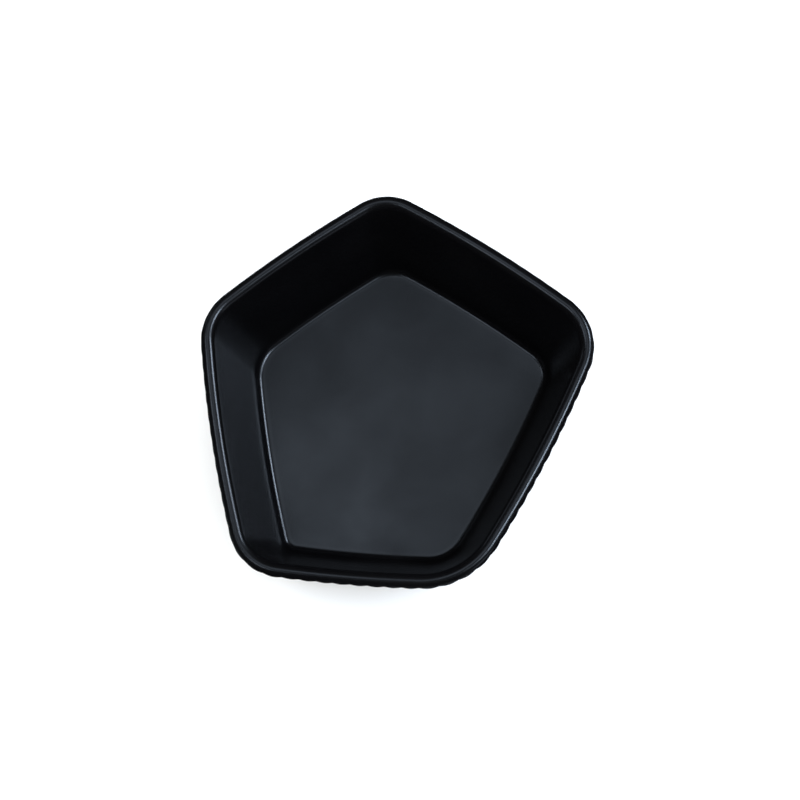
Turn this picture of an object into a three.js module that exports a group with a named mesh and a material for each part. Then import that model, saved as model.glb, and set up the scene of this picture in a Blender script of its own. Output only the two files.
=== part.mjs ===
// A deep five-sided bowl with a fluted outside, moulded in one piece.
// Millimetres, +Z up. The bowl stands on Z = 0 with its front side parallel to X, and the
// origin is under the middle of the box that holds it.
import * as THREE from "three";

// Plan of the rim's inner edge, as if it were sharp. No two sides are alike, so each corner has its
// own place, as a share of the length (X) and the breadth (Y), and its own radius at the rim and
// the floor.
const planLength = 161.1;
const planBreadth = 157.8;
const corners = [
  { x: 0.718, y: 0, rimRadius: 30.8, floorRadius: 17.5 }, // front right
  { x: 1, y: 0.677, rimRadius: 19.6, floorRadius: 14 }, // right
  { x: 0.43, y: 1, rimRadius: 16, floorRadius: 16 }, // back
  { x: 0, y: 0.635, rimRadius: 18.6, floorRadius: 18.5 }, // left
  { x: 0.169, y: 0, rimRadius: 17.7, floorRadius: 6.8 }, // front left
];
const sideBow = 525; // radius of the slight outward curve of every side

// Section through a side.
const height = 51;
const floorThickness = 3.8;
const wallThickness = 6.15; // measured level, to the crests of the flutes
const wallLean = 11.25; // how far the inner wall comes in between the rim and the floor
const rimInnerEdge = 3.2; // radii of the rim's two edges
const rimOuterEdge = 2.8;
const rimCrown = 0.05; // least flat crown between them; a thinner wall gets smaller edges
const floorFillet = 3.4; // between the wall and the floor
const baseEdge = 2.2; // rounds the wall into the foot
const footWidth = 5.5; // flat ring that the bowl stands on
const footRecess = 1.2; // hollow under the floor, inside the foot
const arcStep = THREE.MathUtils.degToRad(30); // largest turn between two points of a rounded edge

// Flutes: round ribs with sharp valleys, from just under the rim down to the foot.
const fluteCount = 70;
const fluteDepth = 0.65;
const fluteRunOut = 0.4; // how far round the rim's outer edge the flutes climb as they fade
const pointsPerFlute = 3;

const innerDepth = height - footRecess - floorThickness;

// How far down the wall a height is: 0 at the rim, 1 at the floor.
const wallShare = (z) => (height - z) / innerDepth;

// Level offset of the inner wall's line from the rim's inner edge, outward positive.
const innerWallAt = (z) => -wallLean * wallShare(z);

// The plan's sharp corners, about its own middle, with the inward bisector of each.
function sharpCorners() {
  const points = corners.map(
    ({ x, y }) => new THREE.Vector2((x - 0.5) * planLength, (y - 0.5) * planBreadth),
  );
  return points.map((point, i) => {
    const before = points.at(i - 1).clone().sub(point).normalize();
    const after = points[(i + 1) % points.length].clone().sub(point).normalize();
    const halfAngle = Math.acos(before.dot(after)) / 2;
    const bisector = before.add(after).normalize();
    return { point, bisector, halfAngle, ...corners[i] };
  });
}

// Centre of the wide arc that joins two corner circles and touches both from outside.
function bowCentre(a, b, bow) {
  const reachA = bow - a.radius;
  const reachB = bow - b.radius;
  const across = b.centre.clone().sub(a.centre);
  const span = across.length();
  const along = (span ** 2 + reachA ** 2 - reachB ** 2) / (2 * span);
  const inward = Math.sqrt(reachA ** 2 - along ** 2);
  across.divideScalar(span);
  return new THREE.Vector2(-across.y, across.x)
    .multiplyScalar(inward)
    .addScaledVector(across, along)
    .add(a.centre);
}

// Outline of the bowl at a height, offset level from the rim's inner edge: an arc round each
// corner and a wide arc along each side, ten curves in all, counter-clockwise.
function outlineAt(offset, z) {
  const bow = sideBow + offset;
  const circles = sharpCorners().map((c) => {
    const wallRadius = THREE.MathUtils.lerp(c.rimRadius, c.floorRadius, wallShare(z));
    const inward = (wallRadius - innerWallAt(z)) / Math.sin(c.halfAngle);
    return {
      centre: c.point.clone().addScaledVector(c.bisector, inward),
      radius: wallRadius + offset - innerWallAt(z),
    };
  });
  const bows = circles.map((a, i) => bowCentre(a, circles[(i + 1) % circles.length], bow));
  const heading = (from, to) => to.clone().sub(from).angle();
  const outline = new THREE.CurvePath();
  circles.forEach(({ centre, radius }, i) => {
    const next = circles[(i + 1) % circles.length].centre;
    const enter = heading(bows.at(i - 1), centre);
    const leave = heading(bows[i], centre);
    outline.add(new THREE.EllipseCurve(centre.x, centre.y, radius, radius, enter, leave));
    outline.add(
      new THREE.EllipseCurve(bows[i].x, bows[i].y, bow, bow, leave, heading(bows[i], next)),
    );
  });
  return outline;
}

// Places round the outline, the same at every height, so that flutes run straight down the wall.
// They are evenly spaced half-way down the outside.
function stationsRound() {
  const count = fluteCount * pointsPerFlute;
  const middle = (height + footRecess + floorThickness) / 2;
  const outline = outlineAt(innerWallAt(middle) + wallThickness, middle);
  const ends = outline.getCurveLengths();
  const step = ends.at(-1) / count;
  return Array.from({ length: count }, (_, k) => {
    const distance = k * step;
    const curve = ends.findIndex((end) => distance < end);
    const start = curve ? ends[curve - 1] : 0;
    const phase = (k % pointsPerFlute) / pointsPerFlute;
    return {
      curve,
      share: (distance - start) / (ends[curve] - start),
      valley: (2 * phase - 1) ** 2, // 1 in the valley between two flutes, 0 on a crest
    };
  });
}

// Radii of the rim's two edges, made smaller together where the wall is too thin for both.
function rimEdges() {
  const slope = Math.atan(wallLean / innerDepth);
  const innerTangent = rimInnerEdge * Math.tan((Math.PI / 2 - slope) / 2);
  const outerTangent = rimOuterEdge * Math.tan((Math.PI / 2 + slope) / 2);
  const fit = Math.min(1, (wallThickness - rimCrown) / (innerTangent + outerTangent));
  return { inner: rimInnerEdge * fit, outer: rimOuterEdge * fit };
}

// Replaces a corner of the section by a tangent arc. Every point of the arc carries how far the
// flutes have grown there.
function roundedCorner(before, corner, after) {
  const { x, z, radius, flutesAt = () => 0 } = corner;
  const at = new THREE.Vector2(x, z);
  const back = new THREE.Vector2(before.x, before.z).sub(at).normalize();
  const ahead = new THREE.Vector2(after.x, after.z).sub(at).normalize();
  const halfAngle = Math.acos(back.dot(ahead)) / 2;
  const start = at.clone().addScaledVector(back, radius / Math.tan(halfAngle));
  const centre = at
    .clone()
    .addScaledVector(back.clone().add(ahead).normalize(), radius / Math.sin(halfAngle));
  const turn = Math.PI - 2 * halfAngle;
  const direction = Math.sign(ahead.cross(back));
  const steps = Math.ceil(turn / arcStep);
  return Array.from({ length: steps + 1 }, (_, k) => {
    const share = k / steps;
    const point = start.clone().rotateAround(centre, direction * turn * share);
    return { x: point.x, z: point.y, flutes: flutesAt(share) };
  });
}

// The half section, from the underside round the foot, up the outside and down the inside to
// the floor: x is the level offset from the rim's inner edge, outward positive.
function sectionPoints() {
  const outerWallAt = (z) => innerWallAt(z) + wallThickness;
  const footEdge = outerWallAt(0) - baseEdge - footWidth;
  const floorZ = footRecess + floorThickness;
  const rim = rimEdges();
  const fadeOut = (share) => Math.max(0, 1 - share / fluteRunOut);
  const underside = { x: footEdge - footRecess, z: footRecess };
  const footInside = { x: footEdge, z: 0 };
  const vertices = [
    underside,
    footInside,
    { x: outerWallAt(0), z: 0, radius: baseEdge, flutesAt: (share) => share },
    { x: wallThickness, z: height, radius: rim.outer, flutesAt: fadeOut },
    { x: 0, z: height, radius: rim.inner },
    { x: -wallLean, z: floorZ, radius: floorFillet },
    { x: -2 * wallLean, z: floorZ },
  ];
  const points = [underside, footInside].map((point) => ({ ...point, flutes: 0 }));
  for (let i = 2; i < vertices.length - 1; i += 1) {
    points.push(...roundedCorner(vertices[i - 1], vertices[i], vertices[i + 1]));
  }
  return points;
}

// One closed skin: a ring of vertices at each point of the section, joined ring to ring, with a
// fan on the underside and another on the floor.
function bowlGeometry() {
  const stations = stationsRound();
  const section = sectionPoints();
  const positions = [];
  for (const { x, z, flutes } of section) {
    const crest = outlineAt(x, z);
    const valley = outlineAt(x - fluteDepth * flutes, z);
    for (const station of stations) {
      const point = crest.curves[station.curve].getPoint(station.share);
      point.lerp(valley.curves[station.curve].getPoint(station.share), station.valley);
      positions.push(point.x, point.y, z);
    }
  }
  const around = stations.length;
  const undersideCentre = section.length * around;
  const floorCentre = undersideCentre + 1;
  const lastRing = (section.length - 1) * around;
  positions.push(0, 0, section[0].z, 0, 0, section.at(-1).z);

  const faces = [];
  for (let k = 0; k < around; k += 1) {
    const next = (k + 1) % around;
    faces.push(undersideCentre, next, k);
    faces.push(floorCentre, lastRing + k, lastRing + next);
    for (let ring = 0; ring < lastRing; ring += around) {
      const above = ring + around;
      faces.push(ring + k, ring + next, above + next);
      faces.push(ring + k, above + next, above + k);
    }
  }
  const geometry = new THREE.BufferGeometry();
  geometry.setAttribute("position", new THREE.Float32BufferAttribute(positions, 3));
  geometry.setIndex(faces);
  geometry.computeBoundingBox();
  const middle = geometry.boundingBox.getCenter(new THREE.Vector3());
  geometry.translate(-middle.x, -middle.y, 0);
  geometry.computeVertexNormals();
  return geometry;
}

// Satin black moulded melamine.
const melamine = new THREE.MeshStandardMaterial({
  color: 0x0d0e10,
  roughness: 0.35,
  metalness: 0,
});

const bowl = new THREE.Mesh(bowlGeometry(), melamine);
bowl.name = "bowl";

const part = new THREE.Group();
part.add(bowl);

export default part;
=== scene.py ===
import math

import bpy
import numpy as np
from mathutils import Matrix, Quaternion, Vector


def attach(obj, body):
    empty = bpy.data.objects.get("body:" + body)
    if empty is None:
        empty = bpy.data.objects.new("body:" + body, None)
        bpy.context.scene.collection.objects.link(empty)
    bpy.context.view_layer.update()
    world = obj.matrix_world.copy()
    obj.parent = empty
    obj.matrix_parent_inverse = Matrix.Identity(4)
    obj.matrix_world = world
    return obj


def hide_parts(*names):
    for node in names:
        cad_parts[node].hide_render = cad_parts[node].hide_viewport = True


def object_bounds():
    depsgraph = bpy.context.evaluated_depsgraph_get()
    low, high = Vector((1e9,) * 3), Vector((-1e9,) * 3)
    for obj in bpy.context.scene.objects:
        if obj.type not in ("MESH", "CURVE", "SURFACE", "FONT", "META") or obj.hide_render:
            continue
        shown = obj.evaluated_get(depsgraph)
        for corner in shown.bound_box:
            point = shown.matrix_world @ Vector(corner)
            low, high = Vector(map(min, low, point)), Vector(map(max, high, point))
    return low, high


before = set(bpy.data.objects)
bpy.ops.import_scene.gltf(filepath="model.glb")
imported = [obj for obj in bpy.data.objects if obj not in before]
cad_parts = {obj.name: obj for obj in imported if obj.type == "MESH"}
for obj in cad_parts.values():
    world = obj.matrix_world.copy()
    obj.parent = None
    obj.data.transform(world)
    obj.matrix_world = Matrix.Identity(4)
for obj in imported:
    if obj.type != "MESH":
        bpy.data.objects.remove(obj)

# A deep five-sided bowl in satin black melamine, fluted outside, on a pale table.
# Shapes are worked out in millimetres and become metres where a mesh is made.

mm = 0.001
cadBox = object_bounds()
scene = bpy.context.scene
scene.view_settings.view_transform = "Standard"
print("frame loaded, nodes:", sorted(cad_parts))


def linearColour(hexColour):
    # sRGB hex to the linear values that shader sockets take
    shares = [int(hexColour[i : i + 2], 16) / 255 for i in (1, 3, 5)]
    linear = [s / 12.92 if s <= 0.04045 else ((s + 0.055) / 1.055) ** 2.4 for s in shares]
    return (*linear, 1.0)


def addNode(tree, kind, settings=None, inputs=None):
    # one node; each input takes a plain value or the socket that feeds it
    node = tree.nodes.new(kind)
    for name, value in (settings or {}).items():
        setattr(node, name, value)
    for name, value in (inputs or {}).items():
        if isinstance(value, bpy.types.NodeSocket):
            tree.links.new(value, node.inputs[name])
        else:
            node.inputs[name].default_value = value
    return node


def emptyTree(material):
    material.use_nodes = True
    material.node_tree.nodes.clear()
    return material.node_tree


# Compression-moulded melamine from a fine-blasted tool: a near-black body under a clear satin
# skin. The eye gets broad soft reflections, a cloudy change of gloss where the tool's polish
# differs, a grain too fine to count, and a duller foot where the bowl has been slid about.
melamine = {
    "bodyDark": "#010102",
    "bodyLight": "#050506",
    "scuffed": "#141516",
    "ior": 1.5,
    "hazySpecular": 0.44,  # strength of the mirror part where the polish is hazy, and where clear
    "clearSpecular": 0.57,
    "roughSmooth": 0.2,
    "roughCloudy": 0.27,
    "roughWorn": 0.55,
    "cloudRange": (0.3, 0.7),  # the stretch of each noise that the changes are spread over
    "markRange": (0.48, 0.68),
    "grainHeight": 0.004,  # mm
    "swellHeight": 0.09,  # mm
    "noises": {  # size in mm, detail, roughness, distortion
        "clouds": (36, 3, 0.5, 0.3),  # patches of differing polish
        "grain": (0.9, 2, 0.5, 0),  # the real grain is near 0.2 mm, drawn coarser so that it shows
        "swell": (34, 1, 0.5, 0),  # the slow waviness of a moulded face
        "scratches": (2.2, 4, 0.65, 1.5),  # marks on the foot
    },
}


def melamineMaterial():
    m = melamine
    material = bpy.data.materials.new("satinBlackMelamine")
    tree = emptyTree(material)
    place = addNode(tree, "ShaderNodeTexCoord").outputs["Object"]

    noises = {}
    for name, (size, detail, roughness, distortion) in m["noises"].items():
        inputs = {
            "Vector": place,
            "Scale": 1 / (size * mm),
            "Detail": detail,
            "Roughness": roughness,
            "Distortion": distortion,
        }
        noises[name] = addNode(tree, "ShaderNodeTexNoise", {}, inputs).outputs["Fac"]
    wear = addNode(tree, "ShaderNodeAttribute", {"attribute_name": "wear"}).outputs["Fac"]
    marks = addNode(
        tree,
        "ShaderNodeMapRange",
        {"interpolation_type": "SMOOTHSTEP"},
        {
            "Value": noises["scratches"],
            "From Min": m["markRange"][0],
            "From Max": m["markRange"][1],
        },
    ).outputs["Result"]
    worn = addNode(
        tree, "ShaderNodeMath", {"operation": "MULTIPLY"}, {0: wear, 1: marks}
    ).outputs[0]

    body = addNode(
        tree,
        "ShaderNodeMix",
        {"data_type": "RGBA"},
        {0: noises["clouds"], 6: linearColour(m["bodyDark"]), 7: linearColour(m["bodyLight"])},
    ).outputs[2]
    colour = addNode(
        tree,
        "ShaderNodeMix",
        {"data_type": "RGBA"},
        {0: worn, 6: body, 7: linearColour(m["scuffed"])},
    ).outputs[2]
    satin = addNode(
        tree,
        "ShaderNodeMapRange",
        {},
        {
            "Value": noises["clouds"],
            "From Min": m["cloudRange"][0],
            "From Max": m["cloudRange"][1],
            "To Min": m["roughSmooth"],
            "To Max": m["roughCloudy"],
        },
    ).outputs["Result"]
    rough = addNode(
        tree,
        "ShaderNodeMix",
        {"data_type": "FLOAT"},
        {0: worn, 2: satin, 3: m["roughWorn"]},
    ).outputs[0]

    polish = addNode(
        tree,
        "ShaderNodeMapRange",
        {},
        {
            "Value": noises["clouds"],
            "From Min": m["cloudRange"][0],
            "From Max": m["cloudRange"][1],
            "To Min": m["clearSpecular"],
            "To Max": m["hazySpecular"],
        },
    ).outputs["Result"]

    slow = addNode(
        tree,
        "ShaderNodeBump",
        {},
        {"Strength": 1.0, "Distance": m["swellHeight"] * mm, "Height": noises["swell"]},
    ).outputs["Normal"]
    fine = addNode(
        tree,
        "ShaderNodeBump",
        {},
        {
            "Strength": 1.0,
            "Distance": m["grainHeight"] * mm,
            "Height": noises["grain"],
            "Normal": slow,
        },
    ).outputs["Normal"]
    shader = addNode(
        tree,
        "ShaderNodeBsdfPrincipled",
        {},
        {
            "Base Color": colour,
            "Roughness": rough,
            "IOR": m["ior"],
            "Specular IOR Level": polish,
            "Normal": fine,
        },
    ).outputs[0]
    addNode(tree, "ShaderNodeOutputMaterial", {}, {"Surface": shader})
    return material


melamineSatin = melamineMaterial()
print("melamine ready")


# the bowl, with its skin first made without flutes
bowl = {
    "planLength": 161.1,  # X and Y between the rim's inner edges, as if they were sharp
    "planBreadth": 157.8,
    "corners": [  # share of the length, share of the breadth, radius at the rim and the floor
        (0.718, 0, 30.8, 17.5),
        (1, 0.677, 19.6, 14),
        (0.43, 1, 16, 16),
        (0, 0.635, 18.6, 18.5),
        (0.169, 0, 17.7, 6.8),
    ],
    "sideBow": 525,  # radius of the slight outward curve of every side
    "height": (cadBox[1].z - cadBox[0].z) / mm,
    "floorThickness": 3.8,
    "wallThickness": 6.15,
    "wallLean": 11.25,
    "rimInnerEdge": 3.2,
    "rimOuterEdge": 2.8,
    "floorFillet": 3.4,
    "floorMargin": 3.8,  # where the floor's last parallel ring lies, in from the wall's foot
    "baseEdge": 2.2,
    "footWidth": 5.5,
    "footRecess": 1.2,
    "footEdge": 0.5,
    "fluteCount": 70,
    "fluteDepth": 0.65,
    "fluteRunOut": 0.4,  # how far round the rim's outer edge the flutes climb as they fade
    "pointsPerFlute": 12,
    "arcStep": 7.5,  # degrees between rings round an edge
    "wallRings": 8,
    "discRings": 9,  # on the floor and on the recess under it, inside their parallel rings
    "discSpread": 0.8,  # under 1 puts those rings closer together towards the wall
    "recessMargin": 5,  # where the recess's last parallel ring lies, in from the foot
    "footWear": 1,  # on the flat that slides
    "baseWear": 0.5,
    "recessWear": 0.2,
    "wearFade": 16,  # how soon wear dies away up a wall
}
innerDepth = bowl["height"] - bowl["footRecess"] - bowl["floorThickness"]


def wallShare(z):
    return (bowl["height"] - z) / innerDepth


def innerWallAt(z):
    return -bowl["wallLean"] * wallShare(z)


def unit(v):
    return v / np.linalg.norm(v)


def sharpCorners():
    size = np.array([bowl["planLength"], bowl["planBreadth"]])
    points = [(np.array([x, y]) - 0.5) * size for x, y, _, _ in bowl["corners"]]
    found = []
    for i, point in enumerate(points):
        before = unit(points[i - 1] - point)
        after = unit(points[(i + 1) % len(points)] - point)
        found.append((point, unit(before + after), math.acos(before @ after) / 2))
    return found


def bowCentre(centreA, radiusA, centreB, radiusB, bow):
    # centre of the wide arc that touches two corner circles from outside
    reachA = bow - radiusA
    reachB = bow - radiusB
    across = centreB - centreA
    span = np.linalg.norm(across)
    along = (span**2 + reachA**2 - reachB**2) / (2 * span)
    inward = math.sqrt(reachA**2 - along**2)
    across = across / span
    return centreA + across * along + np.array([-across[1], across[0]]) * inward


def outlineAt(offset, z):
    # ten arcs counter-clockwise, each a centre, a radius, a first angle and a turn
    bow = bowl["sideBow"] + offset
    share = wallShare(z)
    circles = []
    for (point, bisector, halfAngle), corner in zip(sharpCorners(), bowl["corners"]):
        radius = corner[2] * (1 - share) + corner[3] * share
        inward = (radius - innerWallAt(z)) / math.sin(halfAngle)
        circles.append((point + bisector * inward, radius + offset - innerWallAt(z)))
    count = len(circles)
    bows = [bowCentre(*circles[i], *circles[(i + 1) % count], bow) for i in range(count)]

    def arc(centre, radius, start, end):
        first = math.atan2(*(start[::-1]))
        turn = (math.atan2(*(end[::-1])) - first) % (2 * math.pi)
        return centre[0], centre[1], radius, first, turn

    arcs = []
    for i, (centre, radius) in enumerate(circles):
        following = circles[(i + 1) % count][0]
        arcs.append(arc(centre, radius, centre - bows[i - 1], centre - bows[i]))
        arcs.append(arc(bows[i], bow, centre - bows[i], following - bows[i]))
    return np.array(arcs)


def stationsRound():
    # places evenly spaced half-way down the outside, kept at every height so flutes run straight
    count = bowl["fluteCount"] * bowl["pointsPerFlute"]
    middle = (bowl["height"] + bowl["footRecess"] + bowl["floorThickness"]) / 2
    arcs = outlineAt(innerWallAt(middle) + bowl["wallThickness"], middle)
    lengths = arcs[:, 2] * arcs[:, 4]
    ends = np.cumsum(lengths)
    distance = np.arange(count) * ends[-1] / count
    which = np.searchsorted(ends, distance, side="right")
    return which, (distance - (ends - lengths)[which]) / lengths[which]


def ringAt(offset, z, stations):
    which, share = stations
    x, y, radius, first, turn = outlineAt(offset, z)[which].T
    outward = np.stack([np.cos(first + turn * share), np.sin(first + turn * share)], axis=1)
    return np.stack([x, y], axis=1) + outward * radius[:, None], outward


def roundedCorner(before, corner, after, radius):
    # points of the tangent arc that takes a corner's place, with how far round each one is
    at = np.array(corner)
    back = unit(np.array(before) - at)
    ahead = unit(np.array(after) - at)
    halfAngle = math.acos(back @ ahead) / 2
    centre = at + unit(back + ahead) * radius / math.sin(halfAngle)
    start = at + back * radius / math.tan(halfAngle) - centre
    turn = math.pi - 2 * halfAngle
    side = np.sign(ahead[0] * back[1] - ahead[1] * back[0])
    steps = math.ceil(math.degrees(turn) / bowl["arcStep"])
    points = []
    for k in range(steps + 1):
        angle = side * turn * k / steps
        cosine, sine = math.cos(angle), math.sin(angle)
        points.append(
            (
                centre[0] + start[0] * cosine - start[1] * sine,
                centre[1] + start[0] * sine + start[1] * cosine,
                k / steps,
            )
        )
    return points


def sectionRings():
    # (level offset, height, growth of the flutes, wear) from under the foot, up and over, to the floor
    b = bowl
    top = b["height"]
    floorZ = b["footRecess"] + b["floorThickness"]
    outerFoot = innerWallAt(0) + b["wallThickness"]
    innerFoot = outerFoot - b["baseEdge"] - b["footWidth"]
    recess = (innerFoot - b["footRecess"], b["footRecess"])
    corners = [
        ((recess[0] - b["recessMargin"], b["footRecess"]), 0, None, 0),
        (recess, b["footEdge"], None, b["recessWear"]),
        ((innerFoot, 0), b["footEdge"], None, b["footWear"]),
        ((outerFoot, 0), b["baseEdge"], lambda share: share, b["baseWear"]),
        (
            (b["wallThickness"], top),
            b["rimOuterEdge"],
            lambda share: max(0, 1 - share / b["fluteRunOut"]),
            0,
        ),
        ((0, top), b["rimInnerEdge"], None, 0),
        ((-b["wallLean"], floorZ), b["floorFillet"], None, 0),
        ((-b["wallLean"] - b["floorMargin"], floorZ), 0, None, 0),
    ]
    rings = [(*corners[0][0], 0, 0)]
    for before, here, after in zip(corners, corners[1:], corners[2:]):
        corner, radius, growthAt, wear = here
        points = roundedCorner(before[0], corner, after[0], radius)
        growths = [growthAt(share) if growthAt else 0 for _, _, share in points]
        if rings[-1][1] != points[0][1]:  # a sloping stretch leads here, so it is divided
            x0, z0, growth0, wear0 = rings[-1]
            x1, z1, _ = points[0]
            count = b["wallRings"] if abs(z1 - z0) > b["footRecess"] else 1
            for k in range(1, count):
                share = 0.5 - 0.5 * math.cos(math.pi * k / count)  # closer together at the ends
                rings.append(
                    (
                        x0 + (x1 - x0) * share,
                        z0 + (z1 - z0) * share,
                        growth0 + (growths[0] - growth0) * share,
                        wear0 * (1 - share) ** b["wearFade"] + wear * share ** b["wearFade"],
                    )
                )
        rings += [(x, z, growth, wear) for (x, z, _), growth in zip(points, growths)]
    rings.append((*corners[-1][0], 0, 0))
    return rings


def skinMesh():
    stations = stationsRound()
    around = len(stations[0])
    section = sectionRings()
    places, outwards, growths, wears = [], [], [], []

    def addRing(points, outward, z, growth, wear):
        places.append(np.column_stack([points, np.full(around, z)]))
        outwards.append(np.column_stack([outward, np.zeros(around)]))
        growths.append(np.full(around, growth))
        wears.append(np.full(around, wear))

    first, firstOutward = ringAt(section[0][0], section[0][1], stations)
    last, lastOutward = ringAt(section[-1][0], section[-1][1], stations)
    for k in range(1, bowl["discRings"] + 1):  # the recess under the floor
        share = (k / (bowl["discRings"] + 1)) ** bowl["discSpread"]
        addRing(first * share, firstOutward, section[0][1], 0, 0)
    for offset, z, growth, wear in section:
        addRing(*ringAt(offset, z, stations), z, growth, wear)
    for k in range(bowl["discRings"], 0, -1):  # the floor
        share = (k / (bowl["discRings"] + 1)) ** bowl["discSpread"]
        addRing(last * share, lastOutward, section[-1][1], 0, 0)

    rings = len(places)
    centres = np.array([[0, 0, section[0][1]], [0, 0, section[-1][1]]])
    vertices = np.vstack(places + [centres])
    middle = (vertices[:, :2].min(axis=0) + vertices[:, :2].max(axis=0)) / 2
    cadMiddle = (np.array(cadBox[0]) + np.array(cadBox[1])) / 2 / mm
    vertices[:, :2] += cadMiddle[:2] - middle

    this = np.arange(around)
    following = (this + 1) % around
    faces = []
    for ring in range(rings - 1):
        low, high = ring * around, (ring + 1) * around
        quads = np.stack([low + this, low + following, high + following, high + this], axis=1)
        faces += quads.tolist()
    undersideCentre, floorCentre = rings * around, rings * around + 1
    lastRing = (rings - 1) * around
    faces += [[undersideCentre, b, a] for a, b in zip(this.tolist(), following.tolist())]
    faces += [
        [floorCentre, lastRing + a, lastRing + b] for a, b in zip(this.tolist(), following.tolist())
    ]

    mesh = bpy.data.meshes.new("bowlSkin")
    mesh.from_pydata((vertices * mm).tolist(), [], faces)
    way = np.append(np.tile(this / around, rings), [0, 0])
    for name, kind, values in (
        ("way", "FLOAT", way),
        ("growth", "FLOAT", np.append(np.concatenate(growths), [0, 0])),
        ("wear", "FLOAT", np.append(np.concatenate(wears), [0, 0])),
        ("outward", "FLOAT_VECTOR", np.vstack(outwards + [np.zeros((2, 3))])),
    ):
        attribute = mesh.attributes.new(name, kind, "POINT")
        key = "vector" if kind == "FLOAT_VECTOR" else "value"
        attribute.data.foreach_set(key, values.astype(np.float32).ravel())
    mesh.shade_smooth()
    return mesh


def fluteTree():
    # round ribs with narrow valleys, cut into the skin along its outward directions
    tree = bpy.data.node_groups.new("moulded flutes", "GeometryNodeTree")
    face = tree.interface
    face.new_socket("Geometry", in_out="INPUT", socket_type="NodeSocketGeometry")
    face.new_socket("Flute Count", in_out="INPUT", socket_type="NodeSocketFloat")
    face.new_socket("Flute Depth", in_out="INPUT", socket_type="NodeSocketFloat")
    face.new_socket("Material", in_out="INPUT", socket_type="NodeSocketMaterial")
    face.new_socket("Geometry", in_out="OUTPUT", socket_type="NodeSocketGeometry")
    given = addNode(tree, "NodeGroupInput").outputs

    read = {}
    for name, kind in (("way", "FLOAT"), ("growth", "FLOAT"), ("outward", "FLOAT_VECTOR")):
        settings = {"data_type": kind}
        node = addNode(tree, "GeometryNodeInputNamedAttribute", settings, {"Name": name})
        read[name] = node.outputs["Attribute"]
    multiply = {"operation": "MULTIPLY"}
    passed = addNode(tree, "ShaderNodeMath", multiply, {0: read["way"], 1: given["Flute Count"]})
    phase = addNode(tree, "ShaderNodeMath", {"operation": "FRACT"}, {0: passed.outputs[0]})
    fromCrest = addNode(
        tree,
        "ShaderNodeMath",
        {"operation": "MULTIPLY_ADD"},
        {0: phase.outputs[0], 1: 2.0, 2: -1.0},
    ).outputs[0]
    valley = addNode(tree, "ShaderNodeMath", multiply, {0: fromCrest, 1: fromCrest})  # 0 on a crest
    grown = addNode(tree, "ShaderNodeMath", multiply, {0: valley.outputs[0], 1: read["growth"]})
    cut = addNode(
        tree, "ShaderNodeMath", multiply, {0: grown.outputs[0], 1: given["Flute Depth"]}
    ).outputs[0]
    back = addNode(tree, "ShaderNodeMath", multiply, {0: cut, 1: -1.0}).outputs[0]
    inward = addNode(
        tree, "ShaderNodeVectorMath", {"operation": "SCALE"}, {0: read["outward"], "Scale": back}
    ).outputs[0]
    moved = addNode(
        tree, "GeometryNodeSetPosition", {}, {"Geometry": given["Geometry"], "Offset": inward}
    ).outputs[0]
    real = addNode(tree, "GeometryNodeRealizeInstances", {}, {"Geometry": moved}).outputs[0]
    painted = addNode(
        tree,
        "GeometryNodeSetMaterial",
        {},
        {"Geometry": real, "Material": given["Material"]},
    ).outputs[0]
    addNode(tree, "NodeGroupOutput", {}, {"Geometry": painted})
    return tree


def setInputs(modifier, values):
    # a modifier's inputs go by the socket's identifier
    for item in modifier.node_group.interface.items_tree:
        if item.in_out == "INPUT" and item.name in values:
            modifier[item.identifier] = values[item.name]


def makeBowl():
    shaped = bpy.data.objects.new("bowlShaping", skinMesh())
    scene.collection.objects.link(shaped)
    modifier = shaped.modifiers.new("flutes", "NODES")
    modifier.node_group = fluteTree()
    setInputs(
        modifier,
        {
            "Flute Count": float(bowl["fluteCount"]),
            "Flute Depth": bowl["fluteDepth"] * mm,
            "Material": melamineSatin,
        },
    )
    depsgraph = bpy.context.evaluated_depsgraph_get()
    mesh = bpy.data.meshes.new_from_object(shaped.evaluated_get(depsgraph))
    shaped.modifiers.remove(modifier)
    bpy.data.objects.remove(shaped)
    mesh.name = "bowl_shell"
    piece = bpy.data.objects.new("bowl_shell", mesh)
    scene.collection.objects.link(piece)
    return piece


bowlShell = makeBowl()
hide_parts("bowl")
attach(bowlShell, "root")
print("bowl shell:", len(bowlShell.data.polygons), "faces")


table = {"size": 12000, "colour": "#F3F3F1", "roughness": 0.8, "gap": 0.1}


def makeTable():
    half = table["size"] * mm / 2
    level = cadBox[0].z - table["gap"] * mm
    mesh = bpy.data.meshes.new("table_top")
    corners = [(-half, -half, level), (half, -half, level), (half, half, level), (-half, half, level)]
    mesh.from_pydata(corners, [], [(0, 1, 2, 3)])
    material = bpy.data.materials.new("paintedTabletop")  # matt pale paint, which hides its own shape
    tree = emptyTree(material)
    shader = addNode(
        tree,
        "ShaderNodeBsdfPrincipled",
        {},
        {"Base Color": linearColour(table["colour"]), "Roughness": table["roughness"]},
    ).outputs[0]
    addNode(tree, "ShaderNodeOutputMaterial", {}, {"Surface": shader})
    mesh.materials.append(material)
    top = bpy.data.objects.new("table_top", mesh)
    scene.collection.objects.link(top)
    top.visible_glossy = False  # the bowl's gloss sees the dark room instead, as with black flags
    return top


makeTable()


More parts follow.
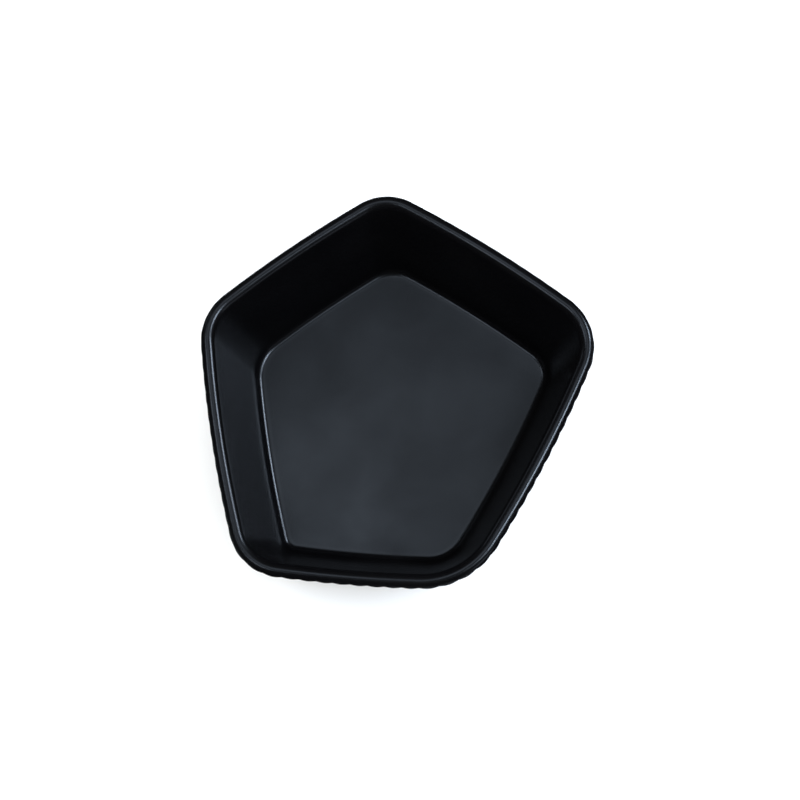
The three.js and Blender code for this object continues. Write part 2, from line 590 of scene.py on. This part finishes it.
lights = {
    "aim": (0, 0, 30),  # mm, what every soft box points at
    "distance": 1400,
    "boxes": [  # name, azimuth, elevation, width, height, radiance, colour
        ("overhead_scrim", 354, 78, 600, 520, 0.94, "#D9EAFF"),
        ("floor_glow", 310, 79, 200, 200, 0.9, "#D9EAFF"),
        ("left_scrim", 285, 61, 300, 300, 3.4, "#D9EAFF"),
        ("front_scrim", 118, 67, 320, 240, 2.8, "#D9EAFF"),
        ("near_left_scrim", 236, 66, 260, 240, 4.6, "#D9EAFF"),
        ("key_window", 74, 53, 280, 280, 9.0, "#D6E8FF"),
        ("tall_window", 54, 40, 260, 320, 19.0, "#D6E8FF"),
        ("right_window", 96, 58, 280, 340, 21.0, "#D6E8FF"),
        ("front_low", 126, 16, 460, 420, 1.0, "#DDEBFF"),
        ("left_low", 300, 14, 420, 420, 0.5, "#DDEBFF"),
    ],
    "tableLight": 1.5,  # even light that reaches the table and the view beyond it
    "room": "#0C0D10",  # what the gloss sees past the boxes
    "sheen": "#878D95",  # what it sees of the table, away from the bowl's own shadow
    "panels": 4,  # brighter stretches of the table round the bowl, which pick out the flutes
}


def directionOf(azimuth, elevation):
    # azimuth 0 points to the back, +Y, and turns towards +X
    a, e = math.radians(azimuth), math.radians(elevation)
    return Vector((math.sin(a) * math.cos(e), math.cos(a) * math.cos(e), math.sin(e)))


def addBox(name, azimuth, elevation, width, height, radiance, colour):
    data = bpy.data.lights.new(name, "AREA")
    data.shape = "RECTANGLE"
    data.size, data.size_y = width * mm, height * mm
    data.energy = radiance * math.pi * data.size * data.size_y
    data.color = linearColour(colour)[:3]
    box = bpy.data.objects.new(name, data)
    direction = directionOf(azimuth, elevation)
    box.location = Vector(lights["aim"]) * mm + direction * lights["distance"] * mm
    box.rotation_mode = "QUATERNION"
    box.rotation_quaternion = direction.to_track_quat("Z", "Y")
    scene.collection.objects.link(box)
    return box


def makeRoom():
    world = bpy.data.worlds.new("studio")
    scene.world = world
    world.use_nodes = True
    tree = world.node_tree
    tree.nodes.clear()
    path = addNode(tree, "ShaderNodeLightPath").outputs["Is Glossy Ray"]
    pale = addNode(
        tree, "ShaderNodeBackground", {}, {"Color": (1, 1, 1, 1), "Strength": lights["tableLight"]}
    ).outputs[0]
    way = addNode(tree, "ShaderNodeTexCoord").outputs["Generated"]
    axes = addNode(tree, "ShaderNodeSeparateXYZ", {}, {"Vector": way}).outputs
    bearing = addNode(
        tree, "ShaderNodeMath", {"operation": "ARCTAN2"}, {0: axes["Y"], 1: axes["X"]}
    ).outputs[0]
    lobes = addNode(
        tree, "ShaderNodeMath", {"operation": "MULTIPLY"}, {0: bearing, 1: float(lights["panels"])}
    ).outputs[0]
    wave = addNode(tree, "ShaderNodeMath", {"operation": "SINE"}, {0: lobes}).outputs[0]
    glow = 1.0  # how much of the table shows in a direction
    for value, darkEnd, brightEnd in (
        (wave, -0.8, 0.9),
        (axes["Z"], -0.93, -0.76),  # straight down lies the bowl's shadow
        (axes["Z"], 0.0, -0.16),  # level and upward there is only the room
    ):
        ramp = addNode(
            tree,
            "ShaderNodeMapRange",
            {"interpolation_type": "SMOOTHSTEP"},
            {"Value": value, "From Min": darkEnd, "From Max": brightEnd},
        ).outputs["Result"]
        glow = addNode(tree, "ShaderNodeMath", {"operation": "MULTIPLY"}, {0: ramp, 1: glow})
        glow = glow.outputs[0]
    seen = addNode(
        tree,
        "ShaderNodeMix",
        {"data_type": "RGBA"},
        {0: glow, 6: linearColour(lights["room"]), 7: linearColour(lights["sheen"])},
    ).outputs[2]
    dark = addNode(tree, "ShaderNodeBackground", {}, {"Color": seen, "Strength": 1.0}).outputs[0]
    mixed = addNode(tree, "ShaderNodeMixShader", {}, {0: path, 1: pale, 2: dark}).outputs[0]
    addNode(tree, "ShaderNodeOutputWorld", {}, {"Surface": mixed})


for settings in lights["boxes"]:
    addBox(*settings)
makeRoom()
print("table and lights ready")


camera = {
    "azimuth": 19.07,  # degrees round from the front side, towards +X
    "elevation": 75.98,
    "roll": -14.4,  # the view is turned a little
    "target": (4.1, -6.04, 51),  # mm, at the level of the rim
    "distance": 600,
    "lens": 65.9,
    "nearest": 10,  # mm, what the view takes in
    "furthest": 50000,
}


def makeCamera():
    a, e = math.radians(camera["azimuth"]), math.radians(camera["elevation"])
    back = Vector((math.sin(a) * math.cos(e), -math.cos(a) * math.cos(e), math.sin(e)))
    data = bpy.data.cameras.new("photo_camera")
    data.lens = camera["lens"]
    data.clip_start, data.clip_end = camera["nearest"] * mm, camera["furthest"] * mm
    view = bpy.data.objects.new("photo_camera", data)
    view.location = (Vector(camera["target"]) + back * camera["distance"]) * mm
    view.rotation_mode = "QUATERNION"
    turn = Quaternion((0, 0, 1), math.radians(camera["roll"]))
    view.rotation_quaternion = (-back).to_track_quat("-Z", "Y") @ turn
    scene.collection.objects.link(view)
    scene.camera = view


makeCamera()
print("camera ready")
